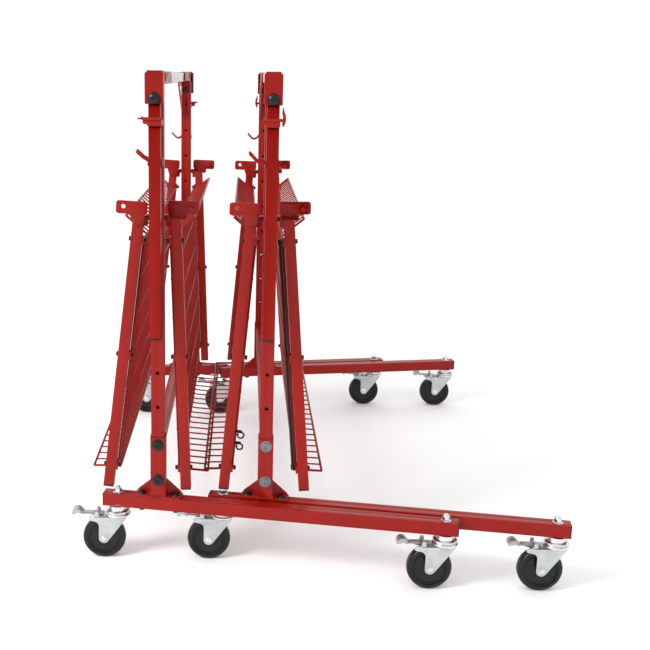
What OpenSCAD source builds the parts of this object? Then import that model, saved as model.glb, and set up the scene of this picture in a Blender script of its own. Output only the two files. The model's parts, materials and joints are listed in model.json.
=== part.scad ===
// Two body-shop parts carts of welded steel tube, stored one inside the other.
// X runs along the base rails, Y across the cart from the near side (-Y) to the far side (+Y), Z is up.
// The origin is on the floor, in the middle of the pair of carts.
// Cart "a" is the outer one; cart "b" is the same cart rolled into it, one nest_step further along +X.

/* [Base rails] */
// Length of each base rail
rail_len = 1022; // [800:1:1300]
// Side of the square rail tube
rail_w = 38; // [30:1:50]
// Wall of the rail tube
rail_wall = 2.5; // [1.5:0.1:4]
// Angle by which each rail opens outwards from the X axis
splay = 9.3; // [6:0.1:14]
// Distance from the left end of a rail to its post
post_setback = 163; // [140:1:220]
// Distance from the left end of a rail to its caster stem
stem_inset_left = 39; // [34:1:50]
// Distance from the right end of a rail to its caster stem
stem_inset_right = 33; // [28:1:45]
// Distance between the near post and the far post
span = 1320; // [1000:1:1500]
// Distance along X between the two nested carts
nest_step = 311; // [300:1:340]

/* [Posts and feet] */
// Side of the square post tube
post_w = 38; // [32:1:50]
// Wall of the post tube
post_wall = 2.5; // [1.5:0.1:4]
// Height of the cap's top above the floor
cap_top = 1422; // [1300:1:1600]
// Pitch of the accessory holes in the posts
hole_pitch = 101.6; // [90:0.1:110]
// Radius of the accessory holes
hole_r = 5.25; // [4:0.05:6]
// Wall of the foot socket
socket_wall = 2.5; // [2:0.1:4]
// Gap between the post and its socket on each side
socket_gap = 0.2; // [0.1:0.05:0.5]
// Height of the socket's mouth above the floor
socket_top = 391; // [350:1:450]
// Length of the foot's base plate
foot_len = 138; // [120:1:160]
// Thickness of the foot's base plate
foot_t = 5; // [4:0.5:8]
// Pitch of the two foot bolts
foot_bolt_pitch = 101.6; // [85:0.1:110]
// Height of the lower socket bolt
socket_bolt_z = 261; // [255:1:280]
// Pitch of the two socket bolts
socket_bolt_pitch = 108; // [80:1:112]
// Side of the square lower crossbar
low_bar_w = 32; // [25:1:38]

/* [Hook rail and top crossbar] */
// Width of the hook rail tube
hook_rail_w = 31; // [25:1:36]
// Depth of the hook rail tube
hook_rail_d = 50; // [30:1:60]
// Gap between the hook rail and the post
hook_rail_gap = 16; // [15:1:30]
// Height of the hook rail's lower end
hook_rail_bottom = 703; // [600:1:800]
// Width of the cap
cap_w = 48.6; // [42:0.1:56]
// Height of the cap
cap_h = 86; // [70:1:100]
// Thickness of the folded steel plate
plate_t = 3; // [2:0.5:4]
// Width of the top crossbar
bar_w = 25; // [20:1:30]
// Height of the top crossbar
bar_h = 36; // [28:1:38]

/* [Wings] */
// Side of the square wing tube
wing_w = 30; // [25:1:34]
// Length of a wing tube below its hinge
wing_len = 795; // [700:1:840]
// Height of the wing hinge above the floor
hinge_z = 1027; // [980:1:1060]
// Distance from the post's face to the wing hinge
hinge_out = 8; // [8:0.5:12]
// Angle between a wing tube and the wing's top plate, past square
tube_splay = 3.5; // [2:0.1:5]
// How far the left wing of cart a is swung out as it hangs
tilt_a_left = 3.3; // [2:0.1:4]
// How far the right wing of cart a is swung out as it hangs
tilt_a_right = -1.4; // [-1.5:0.1:-1]
// How far the left wing of cart b is swung out as it hangs
tilt_b_left = 1.5; // [1:0.1:1.6]
// How far the right wing of cart b is swung out as it hangs
tilt_b_right = 1; // [0.5:0.1:3]
// Number of wires across each tray
rungs = 21; // [15:1:27]
// Number of long bars in each tray
bars = 7; // [7:6:13]
// Thickness of a tray wire
wire = 5; // [4:0.5:6]
// Thickness of a tray's long bar
bar_wire = 7; // [6:0.5:8]
// Depth of the lips along a tray's top and bottom edges
lip = 83; // [50:1:86]
// Length of a tray
tray_len = 1110; // [900:10:1160]

/* [Casters] */
// Diameter of a caster wheel
wheel_d = 127; // [100:1:132]
// Width of a caster wheel
wheel_w = 32; // [25:1:34]
// Overall height of a caster
caster_h = 165; // [163:1:180]
// Distance from the swivel axis to the wheel axle
trail = 41; // [35:1:45]
// Radius of the caster's stem
stem_r = 6; // [5:0.1:7]
// Radius of the wheel axle
axle_r = 5; // [4:0.1:6]
// Running clearance between a shaft and its bore, on the radius
run_fit = 0.05; // [0.02:0.01:0.09]
// Gap between pieces that move past each other
move_gap = 0.6; // [0.4:0.1:1]

/* [Hidden] */

NEAR = -1;
FAR = 1;
LEFT = -1;
RIGHT = 1;
RED = [0.70, 0.17, 0.14];
BLACK = [0.10, 0.10, 0.11];
ZINC = [0.80, 0.83, 0.82];
PALE = [0.86, 0.86, 0.86];
eps = 0.01;

rail_top = caster_h + rail_w;
rail_right = rail_len - post_setback;
stem_left_x = stem_inset_left - post_setback;
stem_right_x = rail_right - stem_inset_right;
plug_t = 3;

bolt_r = 4;
bolt_hole_r = 4.3;
plate_top = rail_top + foot_t;
socket_in = post_w / 2 + socket_gap;
socket_out = socket_in + socket_wall;
gusset_h = 46;
foot_head_r = 14;
gusset_y = foot_head_r + 0.5;
low_bar_z = socket_bolt_z + socket_bolt_pitch - 4;

bar_bottom = cap_top - 2 - bar_h;
post_top = bar_bottom - 1;
top_hole_z = cap_top - 128;
low_hole_z = socket_top + 80;
hole_count = floor((top_hole_z - low_hole_z) / hole_pitch) + 1;
rail_back_y = -post_w / 2 - hook_rail_gap;
rail_front_y = rail_back_y - hook_rail_d;
rail_mid_y = (rail_back_y + rail_front_y) / 2;
cap_front_y = rail_front_y - plate_t - 1;
cap_bolt_z = cap_top - cap_h + 15;
cap_tab_w = 38.6;
cap_tab_h = 5;
saddle_in = 315;
saddle_h = 33;
brace_in = 260;
brace_drop = 143;

hinge_x = post_w / 2 + hinge_out;
pin_r = 4;
ear_r = hinge_out - 0.6;
tube_in = 9;
tube_mid = tube_in + wing_w / 2;
tube_head = -4;
wing_plate_y = post_w / 2 + 1.5;
wing_plate_w = 86;
wing_plate_low = 8;
wing_plate_h = 36;
tray_top = -66;
low_bolt = 60 - wing_len;
bar_gap = (tray_top - low_bolt) / (bars - 1);
tray_bottom = 13 - wing_len;
tray_half = tray_len / 2;
top_lip_angle = 35;
bottom_lip_angle = -7;
panel_x = tube_in - bar_wire;

hub_half = wheel_w / 2 + 2;
fork_in = hub_half + move_gap;
fork_t = 3;
axle_z = wheel_d / 2;
race_z = caster_h - move_gap;
race_r = 37;
crown_z = wheel_d + 6;
pedal_pin_x = -trail - 20;
pedal_pin_z = crown_z + 6;

hook_sleeve_gap = 0.5;
hook_in_x = hook_rail_w / 2 + hook_sleeve_gap;
panel_hook_z = 1272;
panel_hook_h = 33;
j_hook_z = 1160;
j_hook_h = 28;
j_rod_r = 3;

pedal_reach = trail + 97;
left_end = stem_left_x * cos(splay) - pedal_reach;
right_end = nest_step + (rail_right + plug_t) * cos(splay) + rail_w / 2 * sin(splay);
mid_x = (left_end + right_end) / 2;

cord_r = 4;
cord_top_z = 960;
cord_low_z = 290;

// ---------- placing ----------
// cart 0 is a, cart 1 is b
module cart(k) translate([k * nest_step - mid_x, 0, 0]) children();

// The near side is drawn with the post's axis at y = 0 and outwards along -Y; the far side is its mirror image.
module side(s) mirror([0, s == FAR ? 1 : 0, 0]) translate([0, -span / 2, 0]) children();

module both_sides() {
  side(NEAR) children();
  side(FAR) children();
}

module along_rail() rotate([0, 0, -splay]) children();

module box(low, high) translate(low) cube([high[0] - low[0], high[1] - low[1], high[2] - low[2]]);

module rod_y(r, y0, y1, x = 0, z = 0) translate([x, y1, z]) rotate([90, 0, 0]) cylinder(r = r, h = y1 - y0, $fn = 32);

module rod_x(r, x0, x1, y = 0, z = 0) translate([x0, y, z]) rotate([0, 90, 0]) cylinder(r = r, h = x1 - x0, $fn = 32);

module rounded_square(w, h, r) {
  translate([r, 0]) square([w - 2 * r, h]);
  translate([0, r]) square([w, h - 2 * r]);
  for (x = [r, w - r], y = [r, h - r]) translate([x, y]) circle(r = r, $fn = 32);
}

// ---------- base ----------
module rail() difference() {
  box([-post_setback, -rail_w / 2, caster_h], [rail_right, rail_w / 2, rail_top]);
  box([-post_setback - 1, -rail_w / 2 + rail_wall, caster_h + rail_wall],
      [rail_right + 1, rail_w / 2 - rail_wall, rail_top - rail_wall]);
  for (x = [stem_left_x, stem_right_x])
    translate([x, 0, caster_h - 1]) cylinder(r = stem_r + run_fit, h = rail_w + 2, $fn = 48);
  for (x = [-1, 1] * foot_bolt_pitch / 2)
    translate([x, 0, caster_h - 1]) cylinder(r = bolt_hole_r, h = rail_w + 2, $fn = 32);
}

module rails(k) color(RED) cart(k) both_sides() along_rail() rail();

// Drawn along the rail, behind the foot bolts' heads; it runs a little into the socket's wall
module foot_gusset(dir) translate([0, gusset_y + plate_t, plate_top - eps]) rotate([90, 0, 0])
  linear_extrude(plate_t) polygon([
    [dir * (socket_out - 4), 0], [dir * (foot_len / 2 - 4), 0],
    [dir * (foot_len / 2 - 4), 6], [dir * (socket_out - 4), gusset_h]]);

module foot() {
  along_rail() difference() {
    box([-foot_len / 2, -rail_w / 2 - 2, rail_top], [foot_len / 2, rail_w / 2 + 2, plate_top]);
    for (x = [-1, 1] * foot_bolt_pitch / 2)
      translate([x, 0, rail_top - 1]) cylinder(r = bolt_hole_r, h = foot_t + 2, $fn = 32);
  }
  difference() {
    union() {
      box([-socket_out, -socket_out, plate_top - eps], [socket_out, socket_out, socket_top]);
      along_rail() for (dir = [LEFT, RIGHT]) foot_gusset(dir);
    }
    box([-socket_in, -socket_in, plate_top - 1], [socket_in, socket_in, socket_top + 1]);
    for (i = [0, 1]) rod_y(bolt_hole_r, -socket_out - 1, socket_out + 1, 0, socket_bolt_z + i * socket_bolt_pitch);
  }
}

module base_frame(k) color(RED) cart(k) {
  both_sides() foot();
  difference() {
    box([-low_bar_w / 2, -span / 2 + socket_out - eps, low_bar_z - low_bar_w / 2],
        [low_bar_w / 2, span / 2 - socket_out + eps, low_bar_z + low_bar_w / 2]);
    for (s = [NEAR, FAR])
      side(s) box([-11, socket_out - 1, low_bar_z - 6], [11, socket_out + 17, low_bar_z + 13]);
  }
}

// ---------- posts ----------
module post() difference() {
  box([-post_w / 2, -post_w / 2, plate_top + eps], [post_w / 2, post_w / 2, post_top]);
  box([-post_w / 2 + post_wall, -post_w / 2 + post_wall, plate_top - 1],
      [post_w / 2 - post_wall, post_w / 2 - post_wall, post_top + 1]);
  for (i = [0:hole_count - 1]) rod_y(hole_r, -post_w, post_w, 0, top_hole_z - i * hole_pitch);
  for (i = [0, 1]) rod_y(bolt_hole_r, -post_w, post_w, 0, socket_bolt_z + i * socket_bolt_pitch);
  rod_y(bolt_hole_r, -post_w, post_w, 0, cap_bolt_z);
}

// The ear on the post's side face that a wing hangs from
module hinge_lug(dir) difference() {
  union() {
    box([min(dir * (post_w / 2 - eps), dir * hinge_x), -10, hinge_z - 7],
        [max(dir * (post_w / 2 - eps), dir * hinge_x), 10, hinge_z + 7]);
    rod_y(7, -10, 10, dir * hinge_x, hinge_z);
  }
  rod_y(pin_r + run_fit, -11, 11, dir * hinge_x, hinge_z);
}

// Side plate that holds the top crossbar, with a window and a long round end
module saddle_plate(x0) difference() {
  box([x0, post_w / 2 - eps, cap_top - 2 - saddle_h], [x0 + plate_t, post_w / 2 + saddle_in, cap_top - 2]);
  box([x0 - 1, post_w / 2 + 24, cap_top - saddle_h + 4], [x0 + plate_t + 1, post_w / 2 + 82, cap_top - 8]);
  translate([x0 - 1, post_w / 2 + saddle_in - saddle_h, cap_top - 2 - saddle_h]) rotate([90, 0, 90])
    linear_extrude(plate_t + 2) difference() {
      square([saddle_h + 1, saddle_h + 1]);
      circle(r = saddle_h, $fn = 64);
    }
}

module brace() translate([-bar_w / 2 - plate_t, 0, 0]) rotate([90, 0, 90]) linear_extrude(plate_t) difference() {
  polygon([[post_w / 2 - eps, bar_bottom], [post_w / 2 + brace_in, bar_bottom],
           [post_w / 2 + brace_in, bar_bottom - 8], [post_w / 2 - eps, bar_bottom - brace_drop]]);
  polygon([[post_w / 2 + 20, bar_bottom - 16], [post_w / 2 + brace_in - 90, bar_bottom - 16],
           [post_w / 2 + 20, bar_bottom - brace_drop + 42]]);
}

module post_head() {
  saddle_plate(bar_w / 2);
  saddle_plate(-bar_w / 2 - plate_t);
  brace();
  for (x = [-bar_w / 2 - plate_t, bar_w / 2])
    box([x, -post_w / 2, bar_bottom - 8], [x + plate_t, post_w / 2 + eps, cap_top - 2]);
}

module posts(k) color(RED) cart(k) both_sides() difference() {
  union() {
    post();
    post_head();
    for (dir = [LEFT, RIGHT]) hinge_lug(dir);
  }
}

// ---------- hook rails ----------
module hook_rail() difference() {
  box([-hook_rail_w / 2, rail_front_y, hook_rail_bottom], [hook_rail_w / 2, rail_back_y, cap_top - cap_tab_h]);
  box([-hook_rail_w / 2 + 2, rail_front_y + 2, hook_rail_bottom - 1],
      [hook_rail_w / 2 - 2, rail_back_y - 2, cap_top]);
  rod_y(bolt_hole_r, rail_front_y - 1, rail_back_y + 1, 0, cap_bolt_z);
}

module cap() difference() {
  union() {
    translate([-cap_w / 2, cap_front_y + plate_t + 1, cap_top - cap_h]) rotate([90, 0, 0])
      linear_extrude(plate_t + 1) rounded_square(cap_w, cap_h - cap_tab_h, 3);
    for (x = [-cap_w / 2, cap_w / 2 - plate_t])
      box([x, cap_front_y + plate_t, cap_top - cap_h + 3],
          [x + plate_t, cap_front_y + 34, cap_top - cap_tab_h - 3]);
    box([-cap_tab_w / 2, cap_front_y, cap_top - cap_tab_h - eps], [cap_tab_w / 2, rail_back_y + 10, cap_top]);
  }
  rod_y(bolt_hole_r, cap_front_y - 1, cap_front_y + 6, 0, cap_bolt_z);
}

module rail_spacer(z) difference() {
  rod_y(10, rail_back_y - eps, -post_w / 2, 0, z);
  rod_y(bolt_hole_r, rail_back_y - 1, -post_w / 2 + 1, 0, z);
}

module hook_rails(k) color(RED) cart(k) both_sides() {
  hook_rail();
  cap();
  rail_spacer(cap_bolt_z);
}

// ---------- top crossbar: a wide outer tube and a narrower tube that slides in it ----------
module top_crossbar(k) color(PALE) cart(k) {
  half = span / 2 + post_w / 2 - 1;
  joint_y = -20;
  wall = 2;
  difference() {
    box([-bar_w / 2 + 0.5, -half, bar_bottom], [bar_w / 2 - 0.5, joint_y, bar_bottom + bar_h]);
    box([-bar_w / 2 + 0.5 + wall, -half - 1, bar_bottom + wall],
        [bar_w / 2 - 0.5 - wall, joint_y + 1, bar_bottom + bar_h - wall]);
  }
  difference() {
    box([-bar_w / 2 + 1 + wall, joint_y - 150, bar_bottom + wall + 0.5],
        [bar_w / 2 - 1 - wall, half, bar_bottom + bar_h - wall - 0.5]);
    box([-bar_w / 2 + 3 + wall, joint_y - 151, bar_bottom + wall + 2.5],
        [bar_w / 2 - 3 - wall, half + 1, bar_bottom + bar_h - wall - 2.5]);
  }
}

// ---------- black plastic: rail ends, socket liners and hook rail plugs ----------
module rail_plug(x0, dir) {
  box([min(x0, x0 + dir * plug_t), -rail_w / 2, caster_h], [max(x0, x0 + dir * plug_t), rail_w / 2, rail_top]);
  inset = rail_wall + 0.2;
  box([min(x0, x0 - dir * 12), -rail_w / 2 + inset, caster_h + inset],
      [max(x0, x0 - dir * 12), rail_w / 2 - inset, rail_top - inset]);
}

module plastic_plugs(k) color(BLACK) cart(k) both_sides() {
  along_rail() {
    rail_plug(-post_setback, LEFT);
    rail_plug(rail_right, RIGHT);
  }
  for (dir = [LEFT, RIGHT])
    box([dir > 0 ? post_w / 2 : -socket_out, -post_w / 2 + 3, socket_top],
        [dir > 0 ? socket_out : -post_w / 2, post_w / 2 - 3, socket_top + 4]);
  box([-hook_rail_w / 2 - 0.5, rail_front_y - 0.5, hook_rail_bottom - 6],
      [hook_rail_w / 2 + 0.5, rail_back_y + 0.5, hook_rail_bottom]);
}

// ---------- frame bolts ----------
module dome_head(r, h) intersection() {
  cylinder(r = r, h = h, $fn = 48);
  translate([0, 0, h - (r * r + h * h) / (2 * h)]) sphere(r = (r * r + h * h) / (2 * h), $fn = 64);
}

module foot_bolt() {
  translate([0, 0, plate_top]) difference() {
    dome_head(foot_head_r, 8);
    translate([0, 0, 5]) cylinder(r = 3, h = 5, $fn = 6);
  }
  translate([0, 0, caster_h - 7]) cylinder(r = bolt_r, h = plate_top - caster_h + 7 + eps, $fn = 32);
  translate([0, 0, caster_h - 7]) cylinder(r = 7.5, h = 7, $fn = 6);
}

module socket_bolt(z) translate([0, -socket_out, z]) rotate([90, 0, 0]) {
  difference() {
    union() {
      cylinder(r = 17, h = 2.5, $fn = 64);
      translate([0, 0, 2.5 - eps]) cylinder(r = 12, h = 5.5, $fn = 48);
    }
    translate([0, 0, 4]) cylinder(r = 5, h = 5, $fn = 6);
  }
  translate([0, 0, -2 * socket_out]) cylinder(r = bolt_r, h = 2 * socket_out + eps, $fn = 32);
  translate([0, 0, -2 * socket_out - 7]) cylinder(r = 8, h = 7, $fn = 6);
}

module cap_bolt() translate([0, cap_front_y, cap_bolt_z]) rotate([90, 0, 0]) {
  difference() {
    dome_head(17, 9);
    translate([0, 0, 5]) cylinder(r = 5, h = 6, $fn = 6);
  }
  translate([0, 0, cap_front_y - post_w / 2]) cylinder(r = bolt_r, h = post_w / 2 - cap_front_y + eps, $fn = 32);
  translate([0, 0, cap_front_y - post_w / 2 - 7]) cylinder(r = 11, h = 7, $fn = 6);
}

module frame_bolts(k) color(BLACK) cart(k) both_sides() {
  along_rail() for (x = [-1, 1] * foot_bolt_pitch / 2) translate([x, 0, 0]) foot_bolt();
  for (i = [0, 1]) socket_bolt(socket_bolt_z + i * socket_bolt_pitch);
  cap_bolt();
}

// ---------- wings ----------
function bolt_row(i) = tray_top + i * (low_bolt - tray_top) / 2;

function wing_tilt(k, dir) = k == 0 ? (dir == LEFT ? tilt_a_left : tilt_a_right)
                                    : (dir == LEFT ? tilt_b_left : tilt_b_right);

// A wing is drawn as the right-hand one, hinge at the origin and hanging down; outwards is +X.
module wing_place(k, dir) cart(k) translate([dir * hinge_x, 0, hinge_z]) mirror([dir == LEFT ? 1 : 0, 0, 0])
  rotate([0, -wing_tilt(k, dir), 0]) children();

module tube_place() rotate([0, -tube_splay, 0]) children();

// Drawn on the tube's -Y side. A left wing's plate has a hole and a neck; a right one's has a peg and a flange.
module wing_plate(dir) {
  translate([0, -wing_plate_y, wing_plate_low]) rotate([90, 0, 0]) linear_extrude(plate_t) difference() {
    union() {
      rounded_square(wing_plate_w, wing_plate_h, 8);
      if (dir == LEFT) polygon([[4, 6], [50, 6], [tube_in + wing_w, -26], [tube_in, -26]]);
      if (dir == RIGHT) polygon([[3, 6], [3, tube_head - wing_plate_low], [53, tube_head - wing_plate_low], [53, 6]]);
    }
    if (dir == LEFT) translate([66, 20]) circle(r = 6, $fn = 32);
  }
  if (dir == RIGHT) {
    rod_y(6, -wing_plate_y - 1, -wing_plate_y + 18, 64, wing_plate_low + 16);
    box([9, -wing_plate_y - 1, tube_head - 0.5], [52, wing_w / 2 - 1, tube_head + 3]);
  }
  if (dir == LEFT)
    box([tube_in + 3, -wing_plate_y - 1, tube_head - 16], [tube_in + wing_w - 3, -wing_w / 2 + 1, tube_head - 9]);
}

module ear_outline() difference() {
  union() {
    circle(r = ear_r, $fn = 48);
    rotate(tube_splay) translate([-2, -24]) square([tube_in + 3, 20]);
  }
  circle(r = pin_r + run_fit, $fn = 48);
}

module wing_side(dir, s) {
  mirror([0, (dir == LEFT) == (s == NEAR) ? 0 : 1, 0]) wing_plate(dir);
  tube_place() difference() {
    box([tube_in, -wing_w / 2, -wing_len], [tube_in + wing_w, wing_w / 2, tube_head]);
    box([tube_in + 2, -wing_w / 2 + 2, -wing_len - 1], [tube_in + wing_w - 2, wing_w / 2 - 2, tube_head - 2]);
    for (i = [0:2]) rod_x(bolt_hole_r, 0, tube_in + wing_w + 1, 0, bolt_row(i));
  }
  for (y = [-11, 14]) translate([0, y, 0]) rotate([90, 0, 0]) linear_extrude(3) ear_outline();
}

module wing(k, dir) color(RED) wing_place(k, dir) for (s = [NEAR, FAR]) side(s) wing_side(dir, s);

module wing_bolt(z) {
  rod_x(bolt_r, panel_x, tube_in + wing_w + eps, 0, z);
  rod_x(6.5, tube_in + wing_w, tube_in + wing_w + 6, 0, z);
  rod_x(6.5, panel_x - 7, panel_x, 0, z);
}

module wing_bolts(k, dir) color(BLACK) wing_place(k, dir) both_sides() {
  rod_y(pin_r, -17, 17);
  tube_place() {
    for (i = [0:2]) wing_bolt(bolt_row(i));
    box([tube_in, -wing_w / 2, -wing_len - 5], [tube_in + wing_w, wing_w / 2, -wing_len]);
  }
}

// ---------- wire trays, drawn flat as grids of square wire ----------
module grid(height, edge) {
  step = 2 * tray_half / (rungs + 1);
  for (i = [0:rungs + 1]) translate([-tray_half + i * step - wire / 2, 0]) square([wire, height]);
  for (y = [0, height - edge]) translate([-tray_half - wire / 2, y]) square([2 * tray_half + wire, edge]);
}

module tray_panel() translate([panel_x, 0, tray_bottom - bar_wire / 2]) rotate([90, 0, 90])
  linear_extrude(bar_wire) {
    grid(tray_top - tray_bottom + bar_wire, bar_wire);
    for (j = [1:bars - 1]) {
      half = j % ((bars - 1) / 2) == 0 ? span / 2 - 10 : tray_half;
      translate([-half, tray_top - j * bar_gap - tray_bottom]) square([2 * half, bar_wire]);
    }
    translate([-span / 2 + 10, tray_top - tray_bottom]) square([span - 20, bar_wire]);
  }

module tray_lip(z, angle) translate([panel_x + bar_wire / 2, 0, z]) rotate([0, -angle, 0])
  translate([0, 0, -wire / 2]) rotate([0, 0, 90]) mirror([0, 1, 0]) linear_extrude(wire) grid(lip, bar_wire);

module tray_tab(y, z) difference() {
  box([panel_x, y - 14, z - 12], [tube_in - eps, y + 14, z + 12]);
  rod_x(bolt_hole_r, panel_x - 1, tube_in + 1, y, z);
}

module tray(k, dir) color(RED) wing_place(k, dir) tube_place() {
  tray_panel();
  tray_lip(tray_top, top_lip_angle);
  tray_lip(tray_bottom, bottom_lip_angle);
  for (s = [NEAR, FAR], i = [0:2]) tray_tab(s * span / 2, bolt_row(i));
}

// ---------- hooks on the hook rails ----------
module sleeve(z, h) difference() {
  box([-hook_in_x - plate_t, rail_front_y - hook_sleeve_gap - plate_t, z],
      [hook_in_x + plate_t, rail_back_y + hook_sleeve_gap + plate_t, z + h]);
  box([-hook_in_x, rail_front_y - hook_sleeve_gap, z - 1], [hook_in_x, rail_back_y + hook_sleeve_gap, z + h + 1]);
}

sleeve_front = rail_front_y - hook_sleeve_gap - plate_t;

// A folded plate across the sleeve's front. Its blade lies flat on cart a and stands up on cart b.
module panel_hook(k) {
  sleeve(panel_hook_z, panel_hook_h);
  translate([-30, sleeve_front + eps, panel_hook_z]) rotate([90, 0, 0]) linear_extrude(plate_t)
    rounded_square(30 + hook_in_x + plate_t, panel_hook_h - 8, 8);
  box([-31, sleeve_front - 8, panel_hook_z + panel_hook_h - 10],
      [hook_in_x + plate_t + 1, sleeve_front + eps, panel_hook_z + panel_hook_h - 3]);
  if (k == 0) {
    translate([-30, sleeve_front - 2, panel_hook_z + panel_hook_h - 8]) rotate([90, 0, 0])
      linear_extrude(4) polygon([[0, -4], [0, 8], [-5, 4], [-15, 1], [-15, -1]]);
  } else {
    translate([hook_in_x + plate_t, sleeve_front + 10, panel_hook_z - 6]) rotate([90, 0, 0]) linear_extrude(8)
      polygon([[-eps, 8], [3, 0], [9, 4], [10, 22], [7, 40], [4, 62], [1, 62], [0, 40]]);
  }
}

module rod_between(from, to, r) {
  way = to - from;
  flat = norm([way[0], way[1]]);
  translate(from) rotate([0, atan2(flat, way[2]), atan2(way[1], way[0])]) cylinder(r = r, h = norm(way), $fn = 32);
}

module j_prong(y) {
  route = [[-hook_in_x - 2, y, j_hook_z + 16], [-36, y, j_hook_z + 12], [-46, y, j_hook_z + 18], [-64, y, j_hook_z + 40]];
  for (i = [0:2]) rod_between(route[i], route[i + 1], j_rod_r);
  for (i = [1:3]) translate(route[i]) sphere(r = j_rod_r + 0.2, $fn = 48);
}

module j_hook() {
  sleeve(j_hook_z, j_hook_h);
  for (y = [rail_mid_y - 12, rail_mid_y + 12]) j_prong(y);
}

module panel_hook_node(k, s) color(RED) cart(k) mirror([s == FAR ? 1 : 0, 0, 0]) side(s) panel_hook(k);

module j_hook_node(k, s) color(RED) cart(k) side(s) j_hook();

// ---------- casters, drawn with the swivel axis at x = y = 0 and trailing to -X ----------
module caster_place(k, s, x) cart(k) side(s) along_rail() translate([x, 0, 0])
  rotate([0, 0, splay]) children();

module fork_leg(y) translate([0, y + fork_t, 0]) rotate([90, 0, 0]) linear_extrude(fork_t) difference() {
  union() {
    polygon([[-trail - 43, crown_z], [26, crown_z], [-trail + 15, axle_z - 7], [-trail - 12, axle_z - 10],
             [-trail - 14, axle_z + 44], [-trail - 21, axle_z + 53], [-trail - 36, axle_z + 57]]);
    translate([-trail, axle_z]) circle(r = 15, $fn = 48);
  }
}

module caster_fork() {
  fork_leg(-fork_in - fork_t);
  fork_leg(fork_in);
  box([-trail - 26, -fork_in - fork_t, crown_z - 3], [26, fork_in + fork_t, crown_z]);
  translate([0, 0, crown_z - eps]) cylinder(r1 = 30, r2 = race_r, h = 10, $fn = 64);
  translate([0, 0, crown_z + 10 - 2 * eps]) cylinder(r = race_r, h = 7, $fn = 64);
  translate([0, 0, crown_z + 17 - 3 * eps]) cylinder(r = 26, h = race_z - crown_z - 17, $fn = 64);
  translate([0, 0, crown_z]) cylinder(r = stem_r, h = rail_top - crown_z + 20, $fn = 48);
  translate([0, 0, rail_top + move_gap]) cylinder(r = 10.5, h = 12, $fn = 6);
  translate([0, 0, rail_top + 12]) dome_head(8, 9);
  rod_y(axle_r, -fork_in - fork_t - 1, fork_in + fork_t + 1, -trail, axle_z);
  for (y = [-fork_in - fork_t - 6, fork_in + fork_t]) rod_y(9, y, y + 6, -trail, axle_z);
  for (y = [-fork_in - fork_t - 2, fork_in + fork_t]) rod_y(3, y, y + 2, -trail - 8, axle_z + 30);
}

module caster_wheel() translate([-trail, 0, axle_z]) rotate([90, 0, 0]) difference() {
  rotate_extrude($fn = 96) polygon([
    [axle_r + run_fit, -hub_half], [20, -hub_half], [20, -wheel_w / 2 + 6], [40, -wheel_w / 2 + 6],
    [44, -wheel_w / 2 + 1], [46, -wheel_w / 2 + 1], [46, -wheel_w / 2 + 3], [49, -wheel_w / 2 + 3],
    [49, -wheel_w / 2], [wheel_d / 2 - 3, -wheel_w / 2], [wheel_d / 2, -wheel_w / 2 + 5],
    [wheel_d / 2, wheel_w / 2 - 5], [wheel_d / 2 - 3, wheel_w / 2], [49, wheel_w / 2],
    [49, wheel_w / 2 - 3], [46, wheel_w / 2 - 3], [46, wheel_w / 2 - 1], [44, wheel_w / 2 - 1],
    [40, wheel_w / 2 - 6], [20, wheel_w / 2 - 6], [20, hub_half], [axle_r + run_fit, hub_half]]);
}

// A lever that lies over the wheel, with an upturned end to step on
module brake_pedal() translate([0, 0, crown_z + 2]) {
  difference() {
    union() {
      box([-trail - 62, -11, 0], [-trail - 2, 11, 3]);
      rod_y(5.5, -11, 11, pedal_pin_x, pedal_pin_z - crown_z - 2);
    }
    rod_y(3 + run_fit, -12, 12, pedal_pin_x, pedal_pin_z - crown_z - 2);
  }
  translate([-trail - 61, 14, 0]) rotate([90, 0, 0]) linear_extrude(28)
    polygon([[0, 0], [0, 3], [-12, 14], [-24, 17], [-36, 11], [-34, 8], [-24, 13], [-13, 10]]);
}

module fork_node(k, s, x) color(ZINC) caster_place(k, s, x) {
  caster_fork();
  for (y = [-fork_in - fork_t, fork_in - 1])
    box([pedal_pin_x - 7, y, crown_z - 1], [pedal_pin_x + 7, y + fork_t + 1, crown_z + 12]);
  rod_y(3, -fork_in - fork_t, fork_in + fork_t, pedal_pin_x, pedal_pin_z);
}

module wheel_node(k, s, x) color(BLACK) caster_place(k, s, x) caster_wheel();

module pedal_node(k, s, x) color(ZINC) caster_place(k, s, x) brake_pedal();

// ---------- elastic cord on the right wing of cart b ----------
module tie_cord() color(BLACK) wing_place(1, RIGHT) side(NEAR) tube_place()
  translate([panel_x - 3 - cord_r, wing_w / 2 + 6, 0]) {
    translate([0, 0, cord_low_z - hinge_z]) cylinder(r = cord_r, h = cord_top_z - cord_low_z, $fn = 16);
    for (z = [cord_low_z, cord_top_z] - [1, 1] * hinge_z)
      translate([0, 0, z]) sphere(r = cord_r + 3, $fn = 32);
  }

module cord_hook(z) translate([panel_x - 12, wing_w / 2 + 4, z]) {
  rotate([90, 0, 0]) rotate_extrude($fn = 32) translate([9, 0]) circle(r = 2.5, $fn = 16);
  rod_x(5, -3, 11.5, 0, 12);
}

module cord_hooks() color(BLACK) wing_place(1, LEFT) side(NEAR) tube_place()
  for (z = [350, 385] - [1, 1] * hinge_z) cord_hook(z);

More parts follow.
